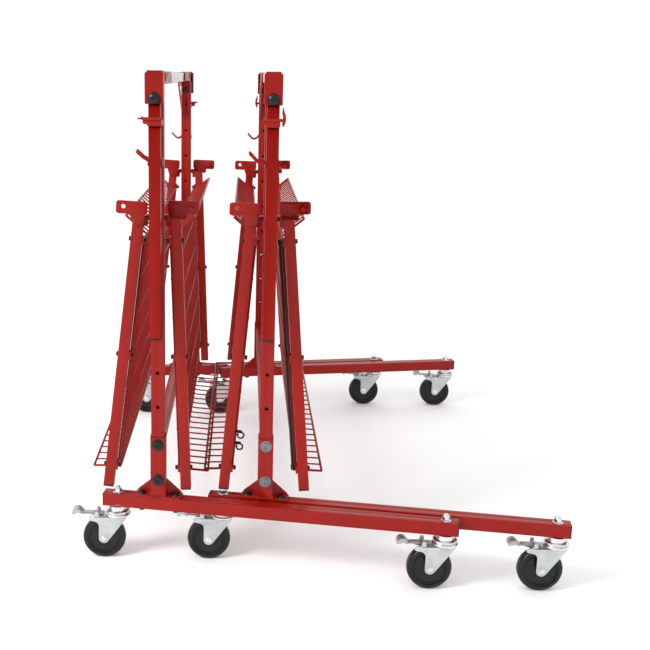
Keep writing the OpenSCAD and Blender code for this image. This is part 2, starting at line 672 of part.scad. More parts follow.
rails(0);  // a_rails
base_frame(0);  // a_base_frame
posts(0);  // a_posts
hook_rails(0);  // a_hook_rails
top_crossbar(0);  // a_top_crossbar
plastic_plugs(0);  // a_plastic_plugs
frame_bolts(0);  // a_frame_bolts
wing(0, LEFT);  // a_wing_left
tray(0, LEFT);  // a_tray_left
wing_bolts(0, LEFT);  // a_wing_bolts_left
wing(0, RIGHT);  // a_wing_right
tray(0, RIGHT);  // a_tray_right
wing_bolts(0, RIGHT);  // a_wing_bolts_right
panel_hook_node(0, NEAR);  // a_panel_hook_near
panel_hook_node(0, FAR);  // a_panel_hook_far
j_hook_node(0, NEAR);  // a_j_hook_near
j_hook_node(0, FAR);  // a_j_hook_far
fork_node(0, NEAR, stem_left_x);  // a_caster_fork_nl
wheel_node(0, NEAR, stem_left_x);  // a_caster_wheel_nl
pedal_node(0, NEAR, stem_left_x);  // a_brake_pedal_nl
fork_node(0, NEAR, stem_right_x);  // a_caster_fork_nr
wheel_node(0, NEAR, stem_right_x);  // a_caster_wheel_nr
pedal_node(0, NEAR, stem_right_x);  // a_brake_pedal_nr
fork_node(0, FAR, stem_left_x);  // a_caster_fork_fl
wheel_node(0, FAR, stem_left_x);  // a_caster_wheel_fl
pedal_node(0, FAR, stem_left_x);  // a_brake_pedal_fl
fork_node(0, FAR, stem_right_x);  // a_caster_fork_fr
wheel_node(0, FAR, stem_right_x);  // a_caster_wheel_fr
pedal_node(0, FAR, stem_right_x);  // a_brake_pedal_fr
rails(1);  // b_rails
base_frame(1);  // b_base_frame
posts(1);  // b_posts
hook_rails(1);  // b_hook_rails
top_crossbar(1);  // b_top_crossbar
plastic_plugs(1);  // b_plastic_plugs
frame_bolts(1);  // b_frame_bolts
wing(1, LEFT);  // b_wing_left
tray(1, LEFT);  // b_tray_left
wing_bolts(1, LEFT);  // b_wing_bolts_left
wing(1, RIGHT);  // b_wing_right
tray(1, RIGHT);  // b_tray_right
wing_bolts(1, RIGHT);  // b_wing_bolts_right
panel_hook_node(1, NEAR);  // b_panel_hook_near
panel_hook_node(1, FAR);  // b_panel_hook_far
j_hook_node(1, NEAR);  // b_j_hook_near
j_hook_node(1, FAR);  // b_j_hook_far
fork_node(1, NEAR, stem_left_x);  // b_caster_fork_nl
wheel_node(1, NEAR, stem_left_x);  // b_caster_wheel_nl
pedal_node(1, NEAR, stem_left_x);  // b_brake_pedal_nl
fork_node(1, NEAR, stem_right_x);  // b_caster_fork_nr
wheel_node(1, NEAR, stem_right_x);  // b_caster_wheel_nr
pedal_node(1, NEAR, stem_right_x);  // b_brake_pedal_nr
fork_node(1, FAR, stem_left_x);  // b_caster_fork_fl
wheel_node(1, FAR, stem_left_x);  // b_caster_wheel_fl
pedal_node(1, FAR, stem_left_x);  // b_brake_pedal_fl
fork_node(1, FAR, stem_right_x);  // b_caster_fork_fr
wheel_node(1, FAR, stem_right_x);  // b_caster_wheel_fr
pedal_node(1, FAR, stem_right_x);  // b_brake_pedal_fr
tie_cord();  // b_tie_cord
cord_hooks();  // b_cord_hooks
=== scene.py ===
"""Dresses a nested pair of red tube carts: painted steel frames, wire trays, casters and hooks.

Every size is in millimetres in the classes below and is turned into metres where a mesh is made.
"""

from __future__ import annotations

import json
import logging
import math
from dataclasses import dataclass, field
from enum import Enum
from typing import Callable, Optional, Sequence

import bmesh
import bpy
from mathutils import Matrix, Vector

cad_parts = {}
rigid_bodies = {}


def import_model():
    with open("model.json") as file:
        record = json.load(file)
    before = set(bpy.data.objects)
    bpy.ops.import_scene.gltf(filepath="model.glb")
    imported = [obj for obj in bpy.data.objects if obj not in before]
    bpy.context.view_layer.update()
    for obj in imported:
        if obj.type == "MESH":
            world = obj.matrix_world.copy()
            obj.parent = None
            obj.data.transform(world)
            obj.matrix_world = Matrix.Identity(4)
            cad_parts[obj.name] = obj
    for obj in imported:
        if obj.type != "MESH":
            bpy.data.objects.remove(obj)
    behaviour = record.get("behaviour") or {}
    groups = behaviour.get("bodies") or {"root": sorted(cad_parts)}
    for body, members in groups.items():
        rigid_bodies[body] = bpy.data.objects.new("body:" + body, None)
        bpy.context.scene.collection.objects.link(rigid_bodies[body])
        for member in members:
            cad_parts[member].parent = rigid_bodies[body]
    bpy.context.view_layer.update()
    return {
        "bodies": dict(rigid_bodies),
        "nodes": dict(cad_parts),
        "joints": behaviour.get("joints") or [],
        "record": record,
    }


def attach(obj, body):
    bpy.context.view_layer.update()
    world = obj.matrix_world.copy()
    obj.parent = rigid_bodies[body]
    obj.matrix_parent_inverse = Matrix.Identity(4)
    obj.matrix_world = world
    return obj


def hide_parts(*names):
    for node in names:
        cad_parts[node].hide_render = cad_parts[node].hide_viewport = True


MM = 0.001
MERGE_DIST = 0.004  # corners closer than this are one, in millimetres
FLAT_ANGLE = 1.0  # faces that meet at less than this are one, in degrees
BEVEL_ANGLE = 25  # edges sharper than this are rounded, in degrees
ROD_DOME = 0.35  # how far a rod's end is domed, as a share of its radius
ROD_TIP = 0.72  # the radius at a rod's very end, as a share of its radius
LOG = logging.getLogger("carts")

Point = tuple[float, float, float]


class Side(Enum):
    """Which side of the pair something is on; the value is its direction along Y."""

    NEAR = -1
    FAR = 1


class Hand(Enum):
    """Which wing of a cart; the value is its direction along X."""

    LEFT = -1
    RIGHT = 1


# ---------------------------------------------------------------- mesh helpers


def turned_about_y(degrees: float) -> Matrix:
    """A turn about Y that carries the bottom of a hanging piece towards +X for a positive angle.

    Args:
        degrees: The angle of the turn.

    Returns:
        The 4 by 4 matrix of the turn.
    """
    return Matrix.Rotation(math.radians(-degrees), 4, "Y")


def rounded_path(points: Sequence[Point], radius: float, steps: int = 6) -> list[Vector]:
    """Rounds the inner corners of a run of straight stretches.

    Args:
        points: The corners, in millimetres.
        radius: The radius of each bend.
        steps: How many chords a bend has.

    Returns:
        The points of the rounded run.
    """
    corners = [Vector(p) for p in points]
    path = [corners[0]]
    for before, corner, after in zip(corners, corners[1:], corners[2:]):
        inward, outward = (before - corner).normalized(), (after - corner).normalized()
        half = inward.angle(outward) / 2
        if half > math.radians(89):
            path.append(corner)
            continue
        reach = min(radius / math.tan(half), (before - corner).length / 2, (after - corner).length / 2)
        start, end = corner + inward * reach, corner + outward * reach
        bend = reach * math.tan(half)
        centre = corner + (inward + outward).normalized() * (bend / math.sin(half))
        first, last = start - centre, end - centre
        turn = first.angle(last)
        axis = first.cross(last).normalized()
        for i in range(steps + 1):
            path.append(centre + Matrix.Rotation(turn * i / steps, 3, axis) @ first)
    path.append(corners[-1])
    return path


def add_rod(bm: bmesh.types.BMesh, path: Sequence[Vector], radius: float, sides: int = 10,
            round_ends: bool = True) -> None:
    """Adds a round rod along a path.

    Args:
        bm: The mesh that the rod is added to.
        path: The middle line, in millimetres.
        radius: The rod's radius.
        sides: How many sides the rod's section has.
        round_ends: Whether the ends are domed a little.
    """
    points = [Vector(p) for p in path]
    tangents = []
    for i, point in enumerate(points):
        before, after = points[max(i - 1, 0)], points[min(i + 1, len(points) - 1)]
        tangents.append((after - before).normalized())
    normal = tangents[0].orthogonal().normalized()
    stations = []
    for i, (point, tangent) in enumerate(zip(points, tangents)):
        if i:
            turn = tangents[i - 1].rotation_difference(tangent)
            normal = (turn @ normal).normalized()
        stations.append((point, tangent, normal, 1.0))
    if round_ends:
        point, tangent, side, _ = stations[0]
        stations[0] = (point + tangent * radius * ROD_DOME, tangent, side, 1.0)
        stations.insert(0, (point, tangent, side, ROD_TIP))
        point, tangent, side, _ = stations[-1]
        stations[-1] = (point - tangent * radius * ROD_DOME, tangent, side, 1.0)
        stations.append((point, tangent, side, ROD_TIP))
    rings = []
    for point, tangent, side, scale in stations:
        other = tangent.cross(side).normalized()
        ring = []
        for j in range(sides):
            angle = 2 * math.pi * j / sides
            offset = (side * math.cos(angle) + other * math.sin(angle)) * radius * scale
            ring.append(bm.verts.new(point + offset))
        rings.append(ring)
    for low, high in zip(rings, rings[1:]):
        for j in range(sides):
            bm.faces.new((low[j], low[(j + 1) % sides], high[(j + 1) % sides], high[j]))
    bm.faces.new(list(reversed(rings[0])))
    bm.faces.new(rings[-1])


def add_lathe(bm: bmesh.types.BMesh, outline: Sequence[tuple[float, float]], sides: int = 64,
              place: Optional[Matrix] = None, closed: bool = False) -> None:
    """Adds a turned shape about its own Z axis.

    Args:
        bm: The mesh that the shape is added to.
        outline: Pairs of radius and height, in millimetres.
        sides: How many sides the turned shape has.
        place: Where the shape goes; None leaves it at the origin.
        closed: Whether the last point of the outline joins the first one.
    """
    place = place or Matrix.Identity(4)
    rings: list[list[bmesh.types.BMVert]] = []
    for radius, height in outline:
        if radius < 1e-6:
            rings.append([bm.verts.new(place @ Vector((0, 0, height)))])
            continue
        rings.append([
            bm.verts.new(place @ Vector((radius * math.cos(2 * math.pi * j / sides),
                                         radius * math.sin(2 * math.pi * j / sides), height)))
            for j in range(sides)])
    pairs = list(zip(rings, rings[1:]))
    if closed:
        pairs.append((rings[-1], rings[0]))
    for low, high in pairs:
        for j in range(sides):
            k = (j + 1) % sides
            if len(low) == 1 and len(high) == 1:
                continue
            if len(low) == 1:
                bm.faces.new((low[0], high[k], high[j]))
            elif len(high) == 1:
                bm.faces.new((low[j], low[k], high[0]))
            else:
                bm.faces.new((low[j], low[k], high[k], high[j]))


def add_plate(bm: bmesh.types.BMesh, outline: Sequence[tuple[float, float]], low: float, high: float,
              place: Matrix) -> None:
    """Adds a flat plate with a given outline.

    Args:
        bm: The mesh that the plate is added to.
        outline: The plate's corners in its own X and Y, in millimetres, counter-clockwise.
        low: The height of its underside in its own Z.
        high: The height of its top in its own Z.
        place: Where the plate goes.
    """
    bottom = [bm.verts.new(place @ Vector((x, y, low))) for x, y in outline]
    top = [bm.verts.new(place @ Vector((x, y, high))) for x, y in outline]
    bm.faces.new(list(reversed(bottom)))
    bm.faces.new(top)
    for i in range(len(outline)):
        j = (i + 1) % len(outline)
        bm.faces.new((bottom[i], bottom[j], top[j], top[i]))


def finished(name: str, bm: bmesh.types.BMesh, material: bpy.types.Material, body: str,
             bevel: float = 0.0, smooth_angle: float = 40.0) -> bpy.types.Object:
    """Turns a mesh in millimetres into a shaded object that rides on a body.

    Args:
        name: The piece's name.
        bm: Its mesh, in millimetres, which is freed.
        material: Its finish.
        body: The CAD body that it moves with.
        bevel: The width of its rounded edges in millimetres, or 0.
        smooth_angle: Edges sharper than this stay crisp, in degrees.

    Returns:
        The finished object.
    """
    bmesh.ops.recalc_face_normals(bm, faces=bm.faces[:])
    if bevel > 0:
        edges = [e for e in bm.edges
                 if len(e.link_faces) == 2 and e.calc_face_angle(0) > math.radians(BEVEL_ANGLE)]
        bmesh.ops.bevel(bm, geom=edges, offset=bevel, offset_type="OFFSET", segments=2, profile=0.5,
                        affect="EDGES", clamp_overlap=True)
    bmesh.ops.scale(bm, vec=(MM, MM, MM), verts=bm.verts[:])
    mesh = bpy.data.meshes.new(name)
    bm.to_mesh(mesh)
    bm.free()
    mesh.materials.append(material)
    mesh.polygons.foreach_set("use_smooth", [True] * len(mesh.polygons))
    mesh.set_sharp_from_angle(angle=math.radians(smooth_angle))
    piece = bpy.data.objects.new(name, mesh)
    bpy.context.scene.collection.objects.link(piece)
    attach(piece, body)
    return piece


def islands_apart(bm: bmesh.types.BMesh, keep: Callable[[Vector], bool]) -> None:
    """Deletes each loose solid of a mesh whose middle is not wanted.

    Args:
        bm: The mesh.
        keep: Tells from a solid's middle whether it stays.
    """
    left = set(bm.verts)
    doomed = []
    while left:
        stack, island = [left.pop()], []
        while stack:
            vertex = stack.pop()
            island.append(vertex)
            for edge in vertex.link_edges:
                other = edge.other_vert(vertex)
                if other in left:
                    left.remove(other)
                    stack.append(other)
        middle = sum((v.co for v in island), Vector()) / len(island)
        if not keep(middle):
            doomed += island
    bmesh.ops.delete(bm, geom=doomed, context="VERTS")


def cad_mesh(frame: dict, node: str, keep: Optional[Callable[[Vector], bool]] = None) -> bmesh.types.BMesh:
    """A copy of a CAD node's mesh in millimetres, with doubled corners merged and flat faces joined.

    Args:
        node: The CAD node's name.
        keep: Tells from a solid's middle whether it stays; None keeps them all.

    Returns:
        The copy.
    """
    bm = bmesh.new()
    bm.from_mesh(frame["nodes"][node].data)
    bmesh.ops.scale(bm, vec=(1 / MM, 1 / MM, 1 / MM), verts=bm.verts[:])
    bmesh.ops.remove_doubles(bm, verts=bm.verts[:], dist=MERGE_DIST)
    if keep:
        islands_apart(bm, keep)
    bmesh.ops.dissolve_limit(bm, angle_limit=math.radians(FLAT_ANGLE), verts=bm.verts[:], edges=bm.edges[:])
    return bm


def softened(frame: dict, node: str, body: str, material: bpy.types.Material,
             bevel: float = 1.2) -> bpy.types.Object:
    """A copy of a CAD node with rounded edges, shown in its place.

    Args:
        node: The CAD node's name.
        body: The body that it moves with.
        material: Its finish.
        bevel: The width of the rounded edges, in millimetres.

    Returns:
        The new object.
    """
    piece = finished(node + "_shell", cad_mesh(frame, node), material, body, bevel)
    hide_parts(node)
    return piece


# ---------------------------------------------------------------- finishes


class Graph:
    """A small helper that adds nodes to a material and joins them up."""

    def __init__(self, name: str) -> None:
        """Starts a material with a plain shader.

        Args:
            name: The material's name.
        """
        self.material = bpy.data.materials.new(name)
        self.material.use_nodes = True
        self.tree = self.material.node_tree
        self.shader = self.tree.nodes["Principled BSDF"]
        self.coords = self.tree.nodes.new("ShaderNodeTexCoord")

    def noise(self, scale: float, detail: float = 4.0, stretch: Point = (1, 1, 1),
              roughness: float = 0.5) -> bpy.types.NodeSocket:
        """Noise over the object's own coordinates.

        Args:
            scale: Features per metre.
            detail: Octaves.
            stretch: How many times finer the noise is along each axis.
            roughness: How strong the finer octaves are.

        Returns:
            The noise's value socket.
        """
        mapping = self.tree.nodes.new("ShaderNodeMapping")
        mapping.inputs["Scale"].default_value = stretch
        self.tree.links.new(self.coords.outputs["Object"], mapping.inputs["Vector"])
        texture = self.tree.nodes.new("ShaderNodeTexNoise")
        texture.inputs["Scale"].default_value = scale
        texture.inputs["Detail"].default_value = detail
        texture.inputs["Roughness"].default_value = roughness
        self.tree.links.new(mapping.outputs["Vector"], texture.inputs["Vector"])
        return texture.outputs["Fac"]

    def ramp(self, value: bpy.types.NodeSocket, low: float, high: float,
             first: Sequence[float], last: Sequence[float]) -> bpy.types.NodeSocket:
        """Maps a value to a colour.

        Args:
            value: The socket that drives the ramp.
            low: The value where the first colour ends.
            high: The value where the last colour begins.
            first: The colour at and below low.
            last: The colour at and above high.

        Returns:
            The colour socket.
        """
        ramp = self.tree.nodes.new("ShaderNodeValToRGB")
        ramp.color_ramp.elements[0].position = low
        ramp.color_ramp.elements[1].position = high
        ramp.color_ramp.elements[0].color = (*first, 1.0)
        ramp.color_ramp.elements[1].color = (*last, 1.0)
        self.tree.links.new(value, ramp.inputs["Fac"])
        return ramp.outputs["Color"]

    def between(self, value: bpy.types.NodeSocket, low: float, high: float) -> bpy.types.NodeSocket:
        """Maps a value from 0 to 1 onto a range.

        Args:
            value: The socket to map.
            low: The result at 0.
            high: The result at 1.

        Returns:
            The mapped value's socket.
        """
        mapped = self.tree.nodes.new("ShaderNodeMapRange")
        mapped.inputs["To Min"].default_value = low
        mapped.inputs["To Max"].default_value = high
        self.tree.links.new(value, mapped.inputs["Value"])
        return mapped.outputs["Result"]

    def bump(self, height: bpy.types.NodeSocket, distance: float, strength: float = 0.4) -> None:
        """Gives the surface a fine relief.

        Args:
            height: The socket with the relief's height.
            distance: How deep it is, in metres.
            strength: How strongly it shows.
        """
        node = self.tree.nodes.new("ShaderNodeBump")
        node.inputs["Distance"].default_value = distance
        node.inputs["Strength"].default_value = strength
        self.tree.links.new(height, node.inputs["Height"])
        self.tree.links.new(node.outputs["Normal"], self.shader.inputs["Normal"])

    def set(self, **values: float) -> None:
        """Sets sockets of the shader, named with underscores for spaces."""
        for key, value in values.items():
            self.shader.inputs[key.replace("_", " ")].default_value = value

    def link(self, value: bpy.types.NodeSocket, socket: str) -> None:
        """Joins a socket to one of the shader's inputs."""
        self.tree.links.new(value, self.shader.inputs[socket])


@dataclass(frozen=True)
class GlossCoat:
    """Baked gloss paint on steel tube: a clear skin over colour, with a faint orange peel."""

    name: str
    light: tuple[float, float, float]
    dark: tuple[float, float, float]
    roughness: float = 0.34
    coat: float = 0.12
    peel: float = 0.00012
    specular: float = 0.16

    def build(self) -> bpy.types.Material:
        """Makes the finish.

        Returns:
            The material.
        """
        graph = Graph(self.name)
        cloud = graph.noise(9.0, detail=5.0)
        graph.link(graph.ramp(cloud, 0.3, 0.7, self.dark, self.light), "Base Color")
        grain = graph.noise(60.0, detail=3.0)
        graph.link(graph.between(grain, self.roughness - 0.06, self.roughness + 0.08), "Roughness")
        graph.bump(graph.noise(420.0, detail=2.0), self.peel, 0.35)
        graph.set(Coat_Weight=self.coat, Coat_Roughness=0.12, Specular_IOR_Level=self.specular)
        return graph.material


@dataclass(frozen=True)
class Plated:
    """Zinc-plated or galvanised steel with a soft, slightly brushed sheen."""

    name: str
    light: tuple[float, float, float]
    dark: tuple[float, float, float]
    roughness: float = 0.34
    metallic: float = 0.85
    stretch: Point = (1.0, 1.0, 1.0)

    def build(self) -> bpy.types.Material:
        """Makes the finish.

        Returns:
            The material.
        """
        graph = Graph(self.name)
        cloud = graph.noise(28.0, detail=6.0)
        graph.link(graph.ramp(cloud, 0.32, 0.68, self.dark, self.light), "Base Color")
        grain = graph.noise(160.0, detail=5.0, stretch=self.stretch)
        graph.link(graph.between(grain, self.roughness - 0.1, self.roughness + 0.14), "Roughness")
        graph.bump(grain, 0.00006, 0.3)
        graph.set(Metallic=self.metallic)
        return graph.material


@dataclass(frozen=True)
class Moulded:
    """Moulded black plastic, rubber or coated hardware with a fine grain."""

    name: str
    light: tuple[float, float, float]
    dark: tuple[float, float, float]
    roughness: float = 0.5
    grain: float = 700.0
    depth: float = 0.00008
    specular: float = 0.35

    def build(self) -> bpy.types.Material:
        """Makes the finish.

        Returns:
            The material.
        """
        graph = Graph(self.name)
        cloud = graph.noise(40.0, detail=4.0)
        graph.link(graph.ramp(cloud, 0.3, 0.7, self.dark, self.light), "Base Color")
        fine = graph.noise(self.grain, detail=3.0)
        graph.link(graph.between(fine, self.roughness - 0.08, self.roughness + 0.1), "Roughness")
        graph.bump(fine, self.depth, 0.35)
        graph.set(Specular_IOR_Level=self.specular)
        return graph.material


@dataclass(frozen=True)
class Braided:
    """The woven cover of an elastic cord."""

    name: str
    light: tuple[float, float, float]
    dark: tuple[float, float, float]

    def build(self) -> bpy.types.Material:
        """Makes the finish.

        Returns:
            The material.
        """
        graph = Graph(self.name)
        wave = graph.tree.nodes.new("ShaderNodeTexWave")
        wave.bands_direction = "DIAGONAL"
        wave.inputs["Scale"].default_value = 180.0
        wave.inputs["Distortion"].default_value = 1.5
        graph.tree.links.new(graph.coords.outputs["Object"], wave.inputs["Vector"])
        graph.link(graph.ramp(wave.outputs["Fac"], 0.3, 0.7, self.dark, self.light), "Base Color")
        graph.bump(wave.outputs["Fac"], 0.0005, 0.6)
        graph.set(Roughness=0.8, Sheen_Weight=0.3)
        return graph.material


FINISHES = {
    "red_coat": GlossCoat("red_coat", (0.285, 0.007, 0.0035), (0.25, 0.006, 0.003)),
    "pale_bar": GlossCoat("pale_bar", (0.66, 0.66, 0.67), (0.60, 0.60, 0.61), roughness=0.35, coat=0.2),
    "zinc": Plated("zinc", (0.60, 0.62, 0.63), (0.47, 0.50, 0.50)),
    "pedal_zinc": Plated("pedal_zinc", (0.50, 0.52, 0.53), (0.38, 0.40, 0.41), roughness=0.35),
    "dull_steel": Plated("dull_steel", (0.23, 0.24, 0.25), (0.16, 0.17, 0.18), roughness=0.42),
    "bright": Plated("bright", (0.80, 0.81, 0.82), (0.66, 0.67, 0.69), roughness=0.2, metallic=1.0),
    "wheel_rubber": Moulded("wheel_rubber", (0.007, 0.007, 0.0075), (0.003, 0.003, 0.0035), roughness=0.3),
    "black_plastic": Moulded("black_plastic", (0.006, 0.006, 0.006), (0.003, 0.003, 0.003), roughness=0.4),
    "black_steel": Moulded("black_steel", (0.006, 0.006, 0.006), (0.003, 0.003, 0.003), roughness=0.3,
                           grain=300.0, depth=0.00004),
    "cord_fabric": Braided("cord_fabric", (0.016, 0.016, 0.017), (0.006, 0.006, 0.006)),
}


class Paints:
    """The finishes of the pair, made once and looked up by the record's slot names."""

    def __init__(self) -> None:
        """Makes every finish."""
        self.by_slot = {slot: finish.build() for slot, finish in FINISHES.items()}

    def __getitem__(self, slot: str) -> bpy.types.Material:
        """The material of a slot."""
        return self.by_slot[slot]


# ---------------------------------------------------------------- the two carts


@dataclass
class Layout:
    """Where things stand: the same driving sizes as the CAD part, in millimetres."""

    span: float = 1320.0
    nest_step: float = 311.0
    splay: float = 9.3
    rail_len: float = 1022.0
    rail_w: float = 38.0
    post_setback: float = 163.0
    post_w: float = 38.0
    stem_inset_left: float = 39.0
    stem_inset_right: float = 33.0
    trail: float = 41.0
    wheel_d: float = 127.0
    caster_h: float = 165.0
    hinge_out: float = 8.0
    hinge_z: float = 1027.0
    tube_splay: float = 3.5
    wing_w: float = 30.0
    wing_len: float = 795.0
    tube_in: float = 9.0
    tilts: dict[tuple[str, Hand], float] = field(default_factory=lambda: {
        ("a", Hand.LEFT): 3.3, ("a", Hand.RIGHT): -1.4, ("b", Hand.LEFT): 1.5, ("b", Hand.RIGHT): 1.0})

    @property
    def mid_x(self) -> float:
        """The distance from cart a's posts to the middle of the pair."""
        slant = math.radians(self.splay)
        rail_right = self.rail_len - self.post_setback
        left = (self.stem_inset_left - self.post_setback) * math.cos(slant) - (self.trail + 97)
        right = self.nest_step + (rail_right + 3) * math.cos(slant) + self.rail_w / 2 * math.sin(slant)
        return (left + right) / 2

    def cart_x(self, cart: str) -> float:
        """Where a cart's posts stand along X."""
        return (self.nest_step if cart == "b" else 0.0) - self.mid_x

    def wing_place(self, cart: str, hand: Hand, with_tube: bool = True) -> Matrix:
        """Where a wing hangs: its own +X is outwards, and its own Z runs up its tubes.

        Args:
            cart: "a" or "b".
            hand: Which wing.
            with_tube: True for the tubes' own direction, False for the top plate's.

        Returns:
            The matrix from the wing's own millimetres to the row frame's.
        """
        spot = Vector((self.cart_x(cart) + hand.value * (self.post_w / 2 + self.hinge_out), 0, self.hinge_z))
        flip = Matrix.Scale(-1, 4, Vector((1, 0, 0))) if hand is Hand.LEFT else Matrix.Identity(4)
        swing = turned_about_y(self.tilts[(cart, hand)])
        lean = turned_about_y(self.tube_splay) if with_tube else Matrix.Identity(4)
        return Matrix.Translation(spot) @ flip @ swing @ lean

    def caster_place(self, cart: str, side: Side, end: str) -> Matrix:
        """Where a caster's swivel axis stands on the floor; the caster trails to -X.

        Args:
            cart: "a" or "b".
            side: The near or the far rail.
            end: "l" or "r", the rail's left or right end.

        Returns:
            The matrix from the caster's own millimetres to the row frame's.
        """
        slant = math.radians(self.splay)
        along = self.stem_inset_left - self.post_setback
        if end == "r":
            along = self.rail_len - self.post_setback - self.stem_inset_right
        x = self.cart_x(cart) + along * math.cos(slant)
        y = side.value * (self.span / 2 + along * math.sin(slant))
        return Matrix.Translation(Vector((x, y, 0)))


@dataclass
class WireTray:
    """A tray of round wire: a long panel with a turned-up top lip and a square bottom lip."""

    layout: Layout
    wire: float = 5.0
    bar: float = 7.0
    rungs: int = 21
    bars: int = 7
    half: float = 555.0
    side_y: float = 641.0
    top: float = -66.0
    low_row: float = -735.0
    bottom: float = -782.0
    lip: float = 83.0
    top_angle: float = 35.0
    bottom_angle: float = -7.0

    def lip_end(self, z: float, angle: float) -> Point:
        """Where a lip's outer edge lies, in the wing's own X and Z.

        Args:
            z: The height where the lip leaves the panel.
            angle: How far it rises from level, in degrees.

        Returns:
            The edge's point, with Y left at 0.
        """
        turn = math.radians(angle)
        root = self.layout.tube_in - self.bar / 2
        reach = self.lip - self.bar / 2
        return (root + reach * math.cos(turn), 0.0, z + reach * math.sin(turn))

    def tabs(self, bm: bmesh.types.BMesh, z: float) -> None:
        """Adds the two drilled tabs of a bolted bar, with their corners rounded.

        Args:
            bm: The mesh that they are added to.
            z: The bar's height in the wing's own frame.
        """
        half_y, half_z, corner = 14.0, 12.0, 4.0
        outline = [(sx * (half_y - corner) + corner * math.cos(turn),
                    sz * (half_z - corner) + corner * math.sin(turn))
                   for sx, sz, first in ((1, 1, 0), (-1, 1, 90), (-1, -1, 180), (1, -1, 270))
                   for turn in (math.radians(first + step * 30) for step in range(4))]
        for sign in (-1, 1):
            spot = Matrix.Translation(Vector((self.layout.tube_in - 2, sign * self.layout.span / 2, z)))
            add_plate(bm, outline, -4, 1.9, spot @ Matrix.Rotation(math.radians(90), 4, "Z")
                      @ Matrix.Rotation(math.radians(90), 4, "X"))

    def build(self, cart: str, hand: Hand, paints: Paints) -> bpy.types.Object:
        """Makes one tray.

        Args:
            cart: "a" or "b".
            hand: Which wing carries it.
            paints: The finishes.

        Returns:
            The tray.
        """
        bm = bmesh.new()
        x = self.layout.tube_in - self.bar / 2
        top_end = self.lip_end(self.top, self.top_angle)
        bottom_end = self.lip_end(self.bottom, self.bottom_angle)
        step = 2 * self.half / (self.rungs + 1)
        for i in range(self.rungs + 2):
            y = -self.half + i * step
            corners = [(top_end[0], y, top_end[2]), (x, y, self.top), (x, y, self.bottom),
                       (bottom_end[0], y, bottom_end[2])]
            edge = i in (0, self.rungs + 1)
            add_rod(bm, rounded_path(corners, 9.0, 5), (self.bar if edge else self.wire) / 2)
        for sign in (-1, 1):
            for y, thick in ((sign * (self.half + step), self.wire), (sign * self.side_y, self.bar)):
                add_rod(bm, [Vector((x, y, self.top)), Vector((x, y, self.low_row))], thick / 2)
        gap = (self.top - self.low_row) / (self.bars - 1)
        for j in range(self.bars):
            z = self.top - j * gap
            bolted = j % ((self.bars - 1) // 2) == 0
            reach = self.layout.span / 2 - 8 if bolted else self.side_y + 3
            add_rod(bm, [Vector((x - 1, -reach, z)), Vector((x - 1, reach, z))], self.bar / 2)
            if bolted:
                self.tabs(bm, z)
        add_rod(bm, [Vector((x - 1, -self.half, self.bottom)), Vector((x - 1, self.half, self.bottom))],
                self.bar / 2)
        for end in (top_end, bottom_end):
            add_rod(bm, [Vector((end[0], -self.half, end[2])), Vector((end[0], self.half, end[2]))],
                    self.bar / 2)
        bm.transform(self.layout.wing_place(cart, hand))
        node = f"{cart}_tray_{hand.name.lower()}"
        piece = finished(node + "_wire", bm, paints["red_coat"], f"{cart}_wing_{hand.name.lower()}_body",
                         smooth_angle=50)
        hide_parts(node)
        return piece


@dataclass
class Wheel:
    """A hard rubber caster wheel with a grooved side and a raised hub."""

    layout: Layout
    half_width: float = 16.0
    hub_half: float = 18.0
    hub_r: float = 15.0
    groove_r: float = 48.0

    def outline(self) -> list[tuple[float, float]]:
        """The wheel's section as pairs of radius and height above its middle plane, all the way round.

        Returns:
            The closed section.
        """
        r = self.layout.wheel_d / 2
        w = self.half_width
        one = [(5.2, self.hub_half), (self.hub_r - 1, self.hub_half), (self.hub_r, self.hub_half - 1),
               (self.hub_r + 0.5, w - 5.0), (self.hub_r + 4, w - 5.6), (40.0, w - 5.0), (42.5, w - 4.0),
               (44.0, w - 1.4), (45.0, w - 1.0), (self.groove_r - 1.6, w - 1.0), (self.groove_r - 1.2, w - 3.0),
               (self.groove_r + 1.2, w - 3.0), (self.groove_r + 1.6, w - 0.4),
               (self.groove_r + 2.2, w),
               (56.0, w - 0.2), (r - 5, w - 1.0), (r - 2.4, w - 3.0), (r - 0.8, w - 6.4), (r, w - 10.5)]
        return one + [(radius, -height) for radius, height in reversed(one)]

    def build(self, cart: str, side: Side, end: str, paints: Paints) -> bpy.types.Object:
        """Makes one wheel.

        Args:
            cart: "a" or "b".
            side: The near or the far rail.
            end: "l" or "r".
            paints: The finishes.

        Returns:
            The wheel.
        """
        bm = bmesh.new()
        place = (self.layout.caster_place(cart, side, end)
                 @ Matrix.Translation(Vector((-self.layout.trail, 0, self.layout.wheel_d / 2)))
                 @ Matrix.Rotation(math.radians(90), 4, "X"))
        add_lathe(bm, self.outline(), 96, place, closed=True)
        tag = f"{side.name[0].lower()}{end}"
        piece = finished(f"{cart}_wheel_{tag}_turned", bm, paints["wheel_rubber"], f"{cart}_wheel_{tag}_body",
                         smooth_angle=35)
        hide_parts(f"{cart}_caster_wheel_{tag}")
        return piece


UPRIGHT = Matrix.Rotation(math.radians(90), 4, "X")


def arc(centre: tuple[float, float], radius: float, first: float, last: float, steps: int = 8) -> list:
    """Points along an arc in a plate's own plane.

    Args:
        centre: The arc's centre.
        radius: Its radius.
        first: The angle where it starts, in degrees.
        last: The angle where it ends, in degrees.
        steps: How many chords it has.

    Returns:
        The points, both ends included.
    """
    turns = (math.radians(first + (last - first) * i / steps) for i in range(steps + 1))
    return [(centre[0] + radius * math.cos(t), centre[1] + radius * math.sin(t)) for t in turns]


